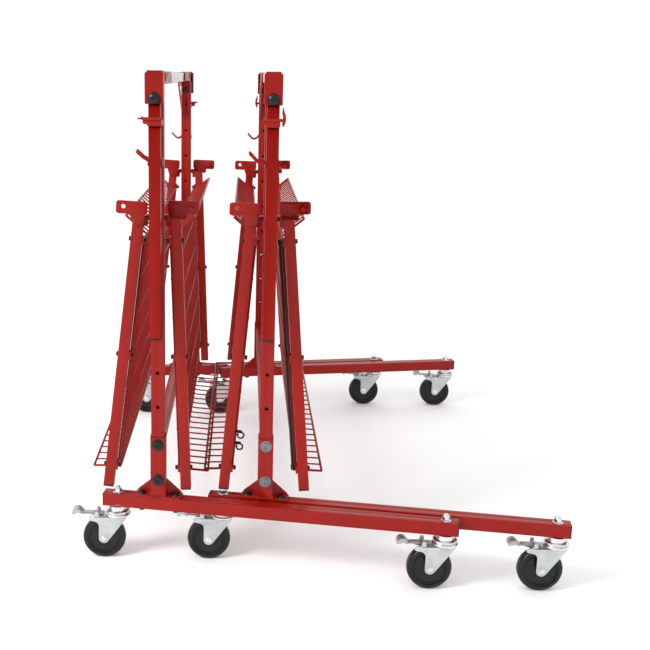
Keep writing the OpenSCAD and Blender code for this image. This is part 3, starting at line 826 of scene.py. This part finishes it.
def strip_outline(path: Sequence[tuple[float, float]], thick: float) -> list[tuple[float, float]]:
    """The outline of a bent strip seen from its edge.

    Args:
        path: The strip's middle line.
        thick: Its thickness.

    Returns:
        The closed outline.
    """
    line = [Vector((p[0], p[1], 0)) for p in path]
    left, right = [], []
    for i, point in enumerate(line):
        ahead = (line[min(i + 1, len(line) - 1)] - line[max(i - 1, 0)]).normalized()
        across = Vector((-ahead.y, ahead.x, 0)) * thick / 2
        left.append(((point + across).x, (point + across).y))
        right.append(((point - across).x, (point - across).y))
    return left + right[::-1]


@dataclass
class CasterFork:
    """A pressed zinc fork with a bright ball race, a stem nut on top of the rail and the axle bolt."""

    layout: Layout
    leg_in: float = 18.6
    leg_t: float = 3.0
    crown_z: float = 133.0
    front_x: float = 26.0
    tail_x: float = -86.0
    axle_z: float = 63.5
    foot_r: float = 15.0
    bend_r: float = 16.0
    race_r: float = 37.0
    nut_r: float = 11.5
    pin_x: float = -61.0
    pin_z: float = 142.0
    rivet: tuple[float, float] = (-55.0, 114.0)
    pedal_z: float = 137.2

    @property
    def outside(self) -> float:
        """How far a leg's outer face stands from the middle."""
        return self.leg_in + self.leg_t

    def on_leg(self, place: Matrix, side: int, x: float, z: float) -> Matrix:
        """Where a turned part sits on a leg's outer face, with its axis outwards.

        Args:
            place: The caster's place.
            side: 1 or -1, which leg.
            x: Its place along X.
            z: Its height.

        Returns:
            The matrix from the part's own millimetres.
        """
        return place @ Matrix.Translation(Vector((x, side * self.outside, z))) @ Matrix.Rotation(
            math.radians(-90 * side), 4, "X")

    def leg_outline(self) -> list[tuple[float, float]]:
        """The outline of one leg in X and Z, with its concave rear edge.

        Returns:
            The closed outline.
        """
        axle_x = -self.layout.trail
        foot = arc((axle_x, self.axle_z), self.foot_r, -35, -180, 12)
        rear_x = axle_x - self.foot_r + 0.6
        bend = arc((rear_x - self.bend_r, 101.0), self.bend_r, 0, 82, 8)
        return ([(self.front_x, self.crown_z), (self.front_x - 1, 127.0)] + foot + bend
                + [(self.tail_x + 3, 119.5), (self.tail_x, 122.5), (self.tail_x, 129.0),
                   (self.tail_x + 4, self.crown_z)])

    def fork(self, place: Matrix) -> bmesh.types.BMesh:
        """The two legs, the crown between them, the pedal's ears and the rivets.

        Args:
            place: The caster's place.

        Returns:
            The mesh, in millimetres.
        """
        bm = bmesh.new()
        inside, outside = self.leg_in, self.outside
        for low, high in ((inside, outside), (-outside, -inside)):
            add_plate(bm, self.leg_outline(), low, high, place @ UPRIGHT)
            ear = arc((self.pin_x, self.pin_z), 6.0, 0, 180, 8) + [
                (self.pin_x - 7, self.pin_z - 10), (self.pin_x + 7, self.pin_z - 10)]
            add_plate(bm, ear, low, high, place @ UPRIGHT)
        crown = [(self.front_x, -outside), (self.front_x, outside), (self.pin_x - 6, outside),
                 (self.pin_x - 6, -outside)]
        add_plate(bm, crown[::-1], self.crown_z - 3, self.crown_z, place)
        for side in (-1, 1):
            for (x, z), radius, height in ((self.rivet, 2.6, 1.6), ((self.pin_x, self.pin_z), 3.6, 2.0)):
                add_lathe(bm, [(0, -1), (radius, -1), (radius, height * 0.4), (radius * 0.7, height),
                               (0, height * 1.15)], 16, self.on_leg(place, side, x, z))
        add_rod(bm, [place @ Vector((self.pin_x, y, self.pin_z)) for y in (-outside, outside)], 2.9)
        return bm

    def race(self, place: Matrix) -> bmesh.types.BMesh:
        """The ball race's two bright rings, the stem's nut and cap, and the axle's bolt.

        Args:
            place: The caster's place.

        Returns:
            The mesh, in millimetres.
        """
        bm = bmesh.new()
        r, z = self.race_r, self.crown_z
        add_lathe(bm, [(0, z), (r - 8, z), (r - 2, z + 1.2), (r, z + 3.5), (r - 0.3, z + 6.5),
                       (r - 2.5, z + 8.6), (r - 5.5, z + 9.3), (r - 6, z + 10.2), (r - 3, z + 11),
                       (r - 2, z + 13), (r - 3, z + 16.5), (r - 7, z + 19), (r - 11, z + 20),
                       (r - 11, z + 31.4), (0, z + 31.4)], 64, place)
        top = self.layout.caster_h + self.layout.rail_w + 0.6
        for radius, low, high in ((self.nut_r + 3, top, top + 1.6), (self.nut_r, top + 1.6, top + 13)):
            sides = 6 if radius == self.nut_r else 40
            add_lathe(bm, [(0, low), (radius - 0.8, low), (radius, low + 0.6), (radius, high - 1.2),
                           (radius - 1.4, high), (0, high)], sides, place)
        add_lathe(bm, [(0, top + 13), (8.6, top + 13), (8.4, top + 15.5), (6.6, top + 18), (0, top + 19)],
                  32, place)
        for side in (-1, 1):
            add_lathe(bm, [(0, 0), (9, 0), (9, 1.2), (8.2, 1.8), (6.4, 1.8), (6.2, 4.6), (5.2, 5.4), (2.4, 5.4),
                           (2.0, 4.4), (0, 4.4)], 32, self.on_leg(place, side, -self.layout.trail, self.axle_z))
        add_rod(bm, [place @ Vector((-self.layout.trail, y, self.axle_z)) for y in (-self.outside, self.outside)],
                4.9, 16, False)
        return bm

    def pedal(self, place: Matrix) -> bmesh.types.BMesh:
        """The brake lever over the wheel, with a curled end to step on and a cheek on each side.

        Args:
            place: The caster's place.

        Returns:
            The mesh, in millimetres.
        """
        bm = bmesh.new()
        curl = arc((-121.0, 138.0), 13.5, 35, 185, 12)
        line = [(-44.0, self.pedal_z), (-98.0, self.pedal_z), (-104.0, 139.5)] + curl
        add_plate(bm, strip_outline(line[:3], 3.2), -11, 11, place @ UPRIGHT)
        add_plate(bm, strip_outline(line[2:], 3.2), -15, 15, place @ UPRIGHT)
        cheek = [(-101.0, 138.0)] + curl + [(-130.0, 135.5), (-118.0, 140.0), (-108.0, 136.0)]
        for low, high in ((12.8, 15), (-15, -12.8)):
            add_plate(bm, cheek, low, high, place @ UPRIGHT)
        ridge = [(-97.0, -7.5), (-66.0, -7.5), (-66.0, 7.5), (-97.0, 7.5)]
        add_plate(bm, ridge, 138.4, 141.5, place)
        return bm

    def build(self, cart: str, side: Side, end: str, paints: Paints) -> None:
        """Makes the fork, its bright parts and its pedal.

        Args:
            cart: "a" or "b".
            side: The near or the far rail.
            end: "l" or "r".
            paints: The finishes.
        """
        place = self.layout.caster_place(cart, side, end)
        tag = f"{side.name[0].lower()}{end}"
        fork_body, pedal_body = f"{cart}_fork_{tag}_body", f"{cart}_pedal_{tag}_body"
        fork = finished(f"{cart}_fork_{tag}_pressed", self.fork(place), paints["zinc"], fork_body, 0.6)
        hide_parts(f"{cart}_caster_fork_{tag}")
        finished(f"{cart}_race_{tag}_bright", self.race(place), paints["bright"], fork_body,
                 smooth_angle=32)
        pedal = finished(f"{cart}_pedal_{tag}_pressed", self.pedal(place), paints["pedal_zinc"],
                         pedal_body, 0.5)
        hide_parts(f"{cart}_brake_pedal_{tag}")


@dataclass
class Hooks:
    """The pointed panel hooks and the two-pronged hooks on the hook rails."""

    layout: Layout
    rail_half: float = 15.5
    rail_back: float = -35.0
    rail_front: float = -85.0
    slack: float = 0.5
    sheet: float = 3.0
    panel_z: float = 1272.0
    prong_z: float = 1160.0
    rod_r: float = 3.2

    def place(self, cart: str, side: Side, mirrored: bool) -> Matrix:
        """Where a hook's own frame lies, with the post's axis at its origin.

        Args:
            cart: "a" or "b".
            side: The near or the far rail.
            mirrored: Whether the hook points the other way along X.

        Returns:
            The matrix from the hook's own millimetres to the row frame's.
        """
        across = Matrix.Scale(-1, 4, Vector((0, 1, 0))) if side is Side.FAR else Matrix.Identity(4)
        along = Matrix.Scale(-1, 4, Vector((1, 0, 0))) if mirrored else Matrix.Identity(4)
        return Matrix.Translation(Vector((self.layout.cart_x(cart), side.value * self.layout.span / 2, 0))) \
            @ across @ along

    def sleeve(self, bm: bmesh.types.BMesh, place: Matrix, low: float, high: float, front: bool) -> None:
        """Adds the sheet that wraps the hook rail, with rounded bends.

        Args:
            bm: The mesh that it is added to.
            place: The hook's place.
            low: The height of its lower edge.
            high: The height of its upper edge.
            front: Whether it also closes over the rail's front.
        """
        inner = self.rail_half + self.slack
        back, ahead = self.rail_back + self.slack, self.rail_front - self.slack
        mid = self.sheet / 2
        route = [(inner + mid, ahead if front else ahead + 22), (inner + mid, back + mid),
                 (-inner - mid, back + mid), (-inner - mid, ahead if front else ahead + 8)]
        if front:
            route = [(0.0, ahead - mid), (inner + mid, ahead - mid)] + route[1:3] \
                + [(-inner - mid, ahead - mid), (-0.01, ahead - mid)]
        bent = [(p.x, p.y) for p in rounded_path([(x, y, 0) for x, y in route], 2.5, 4)]
        add_plate(bm, strip_outline(bent, self.sheet), low, high, place)

    def panel(self, cart: str, side: Side, paints: Paints) -> bpy.types.Object:
        """Makes a panel hook: a folded plate across the rail with a pointed blade.

        Args:
            cart: "a" has the blade lying flat, "b" has it standing up.
            side: The near or the far rail.
            paints: The finishes.

        Returns:
            The hook.
        """
        bm = bmesh.new()
        place = self.place(cart, side, side is Side.FAR)
        z, inner = self.panel_z, self.rail_half + self.slack + self.sheet
        face = self.rail_front - self.slack - self.sheet
        self.sleeve(bm, place, z + 8, z + 22, True)
        left = -30.0 if cart == "a" else -24.0
        body = arc((left + 6, z + 18), 6, 180, 270, 5) + arc((inner - 3, z + 15), 3, 270, 360, 4) \
            + [(inner, z + 24), (left, z + 24)]
        add_plate(bm, body, -face, -face + self.sheet, place @ UPRIGHT)
        lip = arc((-inner + 5, z + 12), 5, 180, 270, 4) + arc((inner - 5, z + 12), 5, 270, 360, 4) \
            + [(inner, z + 14), (-inner, z + 14)]
        add_plate(bm, lip, -face - 0.5, -face + self.sheet - 1, place @ UPRIGHT)
        bar_end = inner + (2 if cart == "a" else 8)
        bar = [Vector((left - 1, face - 3.4, z + 26)), Vector((bar_end, face - 3.4, z + 26))]
        add_rod(bm, [place @ p for p in bar], 4.4, 14)
        if cart == "a":
            tip = [(left + 2, z + 22), (left + 2, z + 30), (left - 2, z + 34), (left - 4, z + 29.5),
                   (left - 14, z + 27.5), (left - 14, z + 25), (left - 3, z + 24)]
            add_plate(bm, tip[::-1], -face + 1.5, -face + 5.5, place @ UPRIGHT)
        else:
            root = inner + 5
            blade = [(root, z + 16), (root + 1, z + 10), (root + 6, z + 9)] \
                + arc((root - 28, z + 30), 38, -28, 26, 10) + [(root + 2.5, z + 60), (root + 0.5, z + 56)] \
                + arc((root - 28, z + 30), 30, 22, -10, 6)
            add_plate(bm, blade, -face - 10, -face - 3, place @ UPRIGHT)
        piece = finished(f"{cart}_panel_hook_{side.name.lower()}_folded", bm, paints["red_coat"],
                         f"{cart}_panel_hook_{side.name.lower()}_body", 0.7)
        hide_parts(f"{cart}_panel_hook_{side.name.lower()}")
        return piece

    def prongs(self, cart: str, side: Side, paints: Paints) -> bpy.types.Object:
        """Makes a two-pronged hook: a clip behind the rail with two bent round bars.

        Args:
            cart: "a" or "b".
            side: The near or the far rail.
            paints: The finishes.

        Returns:
            The hook.
        """
        bm = bmesh.new()
        place = self.place(cart, side, False)
        z = self.prong_z + (10 if side is Side.NEAR else -12)
        self.sleeve(bm, place, z + 4, z + 24, False)
        start = -self.rail_half - self.slack - self.sheet
        if side is Side.NEAR and cart == "a":
            bend = [(0, 18), (-12, 24), (-32, 42)]
        elif side is Side.NEAR:
            bend = [(0, 14), (-18, 14), (-43, 40)]
        else:
            bend = [(0, 20), (-10, 8), (-24, 6), (-44, 28)]
        for y, rise in ((self.rail_front + 13, 0.0), (self.rail_back - 13, 3.0)):
            route = [(start + 1 + x, y, z + height + rise) for x, height in bend]
            add_rod(bm, [place @ p for p in rounded_path(route, 22.0, 8)], self.rod_r, 14)
        piece = finished(f"{cart}_j_hook_{side.name.lower()}_bent", bm, paints["red_coat"],
                         f"{cart}_j_hook_{side.name.lower()}_body", smooth_angle=45)
        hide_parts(f"{cart}_j_hook_{side.name.lower()}")
        return piece


@dataclass
class Welds:
    """Beads of weld around the foot sockets."""

    layout: Layout
    plate_top: float = 208.0
    socket_half: float = 21.9
    bead_r: float = 2.6
    beads: int = 9

    def build(self, cart: str, paints: Paints) -> bpy.types.Object:
        """Makes the beads of one cart.

        Args:
            cart: "a" or "b".
            paints: The finishes.

        Returns:
            The beads.
        """
        bm = bmesh.new()
        half = self.socket_half
        for side in Side:
            middle = Vector((self.layout.cart_x(cart), side.value * self.layout.span / 2, 0))
            for face in range(4):
                turn = Matrix.Rotation(math.radians(90 * face), 4, "Z")
                for i in range(self.beads):
                    along = -half + 2 * half * (i + 0.5) / self.beads
                    swell = self.bead_r * (1.0 + 0.22 * math.sin(i * 2.3 + face))
                    spot = middle + turn @ Vector((along, -half - 0.6, self.plate_top + 0.4))
                    bmesh.ops.create_icosphere(bm, subdivisions=2, radius=swell,
                                               matrix=Matrix.Translation(spot))
        return finished(f"{cart}_foot_welds", bm, paints["red_coat"], f"{cart}_frame", smooth_angle=60)


@dataclass
class FootNuts:
    """The domed black nuts under each rail, below the foot bolts."""

    layout: Layout
    pitch: float = 101.6
    radius: float = 9.5
    height: float = 11.0

    def build(self, cart: str, paints: Paints) -> bpy.types.Object:
        """Makes the visible ends of one cart's four nuts.

        Args:
            cart: "a" or "b".
            paints: The finishes.

        Returns:
            The nuts.
        """
        bm = bmesh.new()
        slant = math.radians(self.layout.splay)
        rail_low = self.layout.caster_h
        for side in Side:
            for sign in (-1, 1):
                along = sign * self.pitch / 2
                spot = Matrix.Translation(Vector((
                    self.layout.cart_x(cart) + along * math.cos(slant),
                    side.value * (self.layout.span / 2 + along * math.sin(slant)), rail_low)))
                low = self.height
                add_lathe(bm, [(0, -0.2), (self.radius + 2, -0.2), (self.radius + 2, -1.8),
                               (self.radius, -1.8), (self.radius, -low + 4), (self.radius * 0.8, -low + 1.5),
                               (self.radius * 0.4, -low), (0, -low)], 24, spot)
        return finished(f"{cart}_foot_nuts", bm, paints["black_steel"], f"{cart}_frame")


@dataclass
class TieCord:
    """The elastic cord along cart b's right wing and the two cord hooks on its left wing."""

    layout: Layout
    radius: float = 4.4
    out: float = -3.8
    back: float = 21.0
    top_z: float = 960.0
    low_z: float = 290.0
    hook_heights: tuple[float, float] = (350.0, 385.0)

    def local(self, hand: Hand) -> Matrix:
        """Where the near tube's own frame lies.

        Args:
            hand: Which wing.

        Returns:
            The matrix from the tube's own millimetres to the row frame's.
        """
        return self.layout.wing_place("b", hand) @ Matrix.Translation(Vector((0, -self.layout.span / 2, 0)))

    def cord(self, paints: Paints) -> None:
        """Makes the cord with a crimped sleeve at each end.

        Args:
            paints: The finishes.
        """
        bm = bmesh.new()
        high, low = self.top_z - self.layout.hinge_z, self.low_z - self.layout.hinge_z
        steps = 24
        line = [Vector((self.out, self.back + 0.4 * math.sin(i * 0.9), high + (low - high) * i / steps))
                for i in range(steps + 1)]
        add_rod(bm, line, self.radius, 14)
        for z in (high, low):
            add_lathe(bm, [(0, -9), (5.4, -9), (6.4, -7.5), (6.4, 4), (5.4, 6), (0, 6)], 24,
                      Matrix.Translation(Vector((self.out, self.back, z))))
        bm.transform(self.local(Hand.RIGHT))
        cord = finished("b_tie_cord_braid", bm, paints["cord_fabric"], "b_wing_right_body")
        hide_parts("b_tie_cord")

    def hooks(self, paints: Paints) -> None:
        """Makes the two open cord hooks, black with a red tip each.

        Args:
            paints: The finishes.
        """
        black, red = bmesh.new(), bmesh.new()
        for z in self.hook_heights:
            middle = (-10.0, self.layout.wing_w / 2 + 4, z - self.layout.hinge_z)
            ring = [Vector((middle[0] + 9 * math.cos(math.radians(t)), middle[1],
                            middle[2] + 9 * math.sin(math.radians(t)))) for t in range(90, 391, 20)]
            add_rod(black, ring, 2.5, 12)
            add_rod(red, ring[-3:], 3.1, 12)
            add_rod(black, [Vector((middle[0] - 3, middle[1], middle[2] + 11)),
                            Vector((self.layout.tube_in, middle[1], middle[2] + 11))], 4.6, 14)
        for bm in (black, red):
            bm.transform(self.local(Hand.LEFT))
        hooks = finished("b_cord_hooks_bent", black, paints["black_plastic"], "b_wing_left_body")
        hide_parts("b_cord_hooks")
        finished("b_cord_hook_tips", red, paints["red_coat"], "b_wing_left_body")


@dataclass
class SocketBolts:
    """The inner cart's socket bolts, which are bare steel where all the other bolts are black."""

    frame: dict
    low_z: float = 240.0
    high_z: float = 400.0

    def part(self, name: str, material: bpy.types.Material, steel: bool) -> bpy.types.Object:
        """A rounded copy of either the socket bolts or the other bolts.

        Args:
            name: The piece's name.
            material: Its finish.
            steel: True for the socket bolts, False for the others.

        Returns:
            The bolts.
        """
        bm = cad_mesh(self.frame, "b_frame_bolts", lambda middle: (self.low_z < middle.z < self.high_z) == steel)
        return finished(name, bm, material, "b_frame", 0.7)

    def build(self, paints: Paints) -> None:
        """Makes both groups of bolts.

        Args:
            paints: The finishes.
        """
        black = self.part("b_frame_bolts_black", paints["black_steel"], False)
        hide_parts("b_frame_bolts")
        self.part("b_socket_bolts_steel", paints["dull_steel"], True)


@dataclass
class Carried:
    """CAD pieces whose shape is kept, with their edges rounded as pressed and welded steel has them."""

    frame: dict
    paints: Paints

    def slots(self) -> dict[str, str]:
        """Which slot each CAD node takes its finish from."""
        return {p["node"]: p["material_slot"] for p in self.frame["record"]["subparts"]}

    def build(self, skip: Callable[[str], bool], bevels: dict[str, float]) -> int:
        """Dresses every CAD node that has no piece of its own.

        Args:
            skip: Tells which nodes are replaced elsewhere.
            bevels: The rounding of an edge for a word in a node's name, in millimetres.

        Returns:
            How many nodes were dressed.
        """
        count = 0
        slots = self.slots()
        for body, nodes in self.frame["record"]["behaviour"]["bodies"].items():
            for node in nodes:
                material = self.paints[slots[node]]
                for holder in self.frame["nodes"][node].material_slots:
                    holder.material = material
                if skip(node):
                    continue
                bevel = next((width for word, width in bevels.items() if word in node), 1.0)
                softened(self.frame, node, body, material, bevel)
                count += 1
        return count


# ---------------------------------------------------------------- studio


@dataclass
class Studio:
    """The camera, the pale floor and the soft lights."""

    layout: Layout
    eye: Point = (239.65, -3337.51, 1414.73)
    yaw: float = -0.76
    pitch: float = -12.22
    roll: float = 0.67
    lens: float = 54.24
    shift: tuple[float, float] = (0.1451, -0.0598)
    floor_reach: float = 30.0
    surround: float = 1.05
    key_size: float = 1.4
    key_power: float = 150.0

    def camera(self) -> bpy.types.Object:
        """Sets up the camera.

        Returns:
            The camera.
        """
        data = bpy.data.cameras.new("camera")
        data.lens = self.lens
        data.sensor_width = 36.0
        data.shift_x, data.shift_y = self.shift
        data.clip_end = 60.0
        yaw, pitch, roll = (math.radians(v) for v in (self.yaw, self.pitch, self.roll))
        ahead = Vector((math.sin(yaw) * math.cos(pitch), math.cos(yaw) * math.cos(pitch), math.sin(pitch)))
        right = Vector((math.cos(yaw), -math.sin(yaw), 0))
        up = right.cross(ahead)
        across = right * math.cos(roll) + up * math.sin(roll)
        above = up * math.cos(roll) - right * math.sin(roll)
        turn = Matrix((across, above, -ahead)).transposed().to_4x4()
        spot = Vector((self.eye[0] - self.layout.mid_x, self.eye[1], self.eye[2])) * MM
        camera = bpy.data.objects.new("camera", data)
        camera.matrix_world = Matrix.Translation(spot) @ turn
        bpy.context.scene.collection.objects.link(camera)
        bpy.context.scene.camera = camera
        return camera

    def floor(self) -> bpy.types.Object:
        """Lays the pale floor.

        Returns:
            The floor.
        """
        graph = Graph("pale_floor")
        tone = graph.ramp(graph.noise(2.0), 0.3, 0.7, (0.95, 0.95, 0.95), (0.97, 0.97, 0.97))
        graph.link(tone, "Base Color")
        graph.set(Roughness=0.9)
        mesh = bpy.data.meshes.new("floor")
        reach = self.floor_reach
        mesh.from_pydata([(-reach, -reach, 0), (reach, -reach, 0), (reach, reach, 0), (-reach, reach, 0)],
                         [], [(0, 1, 2, 3)])
        mesh.materials.append(graph.material)
        floor = bpy.data.objects.new("floor", mesh)
        bpy.context.scene.collection.objects.link(floor)
        return floor

    def lamp(self, name: str, spot: Point, aim: Point, size: float, power: float) -> None:
        """Hangs one soft lamp.

        Args:
            name: The lamp's name.
            spot: Where it hangs, in metres.
            aim: What it points at, in metres.
            size: The side of its square face, in metres.
            power: Its power in watts.
        """
        data = bpy.data.lights.new(name, "AREA")
        data.size = size
        data.energy = power
        lamp = bpy.data.objects.new(name, data)
        lamp.location = spot
        lamp.rotation_euler = (Vector(aim) - Vector(spot)).to_track_quat("-Z", "Y").to_euler()
        bpy.context.scene.collection.objects.link(lamp)

    def lights(self) -> None:
        """Sets up the white surroundings and the key lamp."""
        world = bpy.data.worlds.new("studio")
        world.use_nodes = True
        background = world.node_tree.nodes["Background"]
        background.inputs["Color"].default_value = (1, 1, 1, 1)
        background.inputs["Strength"].default_value = self.surround
        bpy.context.scene.world = world
        bpy.context.scene.view_settings.view_transform = "Standard"
        self.lamp("key", (-3.4, -2.6, 3.4), (0, 0, 0.7), self.key_size, self.key_power)


def main() -> None:
    """Builds the pair of carts and its studio."""
    logging.basicConfig(level=logging.INFO, format="%(name)s: %(message)s")
    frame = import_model()
    layout = Layout()
    studio = Studio(layout)
    studio.camera()
    studio.floor()
    studio.lights()
    paints = Paints()

    tray = WireTray(layout)
    wheel = Wheel(layout)
    fork = CasterFork(layout)
    hooks = Hooks(layout)
    welds = Welds(layout)
    nuts = FootNuts(layout)
    cord = TieCord(layout)
    cord.cord(paints)
    cord.hooks(paints)
    SocketBolts(frame).build(paints)
    for cart in "ab":
        LOG.info("made %s", welds.build(cart, paints).name)
        LOG.info("made %s", nuts.build(cart, paints).name)
        for hand in Hand:
            LOG.info("made %s", tray.build(cart, hand, paints).name)
        for side in Side:
            LOG.info("made %s", hooks.panel(cart, side, paints).name)
            LOG.info("made %s", hooks.prongs(cart, side, paints).name)
            for end in "lr":
                LOG.info("made %s", wheel.build(cart, side, end, paints).name)
                fork.build(cart, side, end, paints)

    replaced = ("_tray_", "_caster_", "_brake_", "_panel_hook_", "_j_hook_", "b_frame_bolts", "_cord")
    carried = Carried(frame, paints)
    count = carried.build(lambda node: any(word in node for word in replaced),
                          {"posts": 1.6, "rails": 1.6, "wing_left": 1.4, "wing_right": 1.4, "bolts": 0.7,
                           "plug": 0.8})
    LOG.info("dressed %d carried pieces", count)


if __name__ == "__main__":
    main()
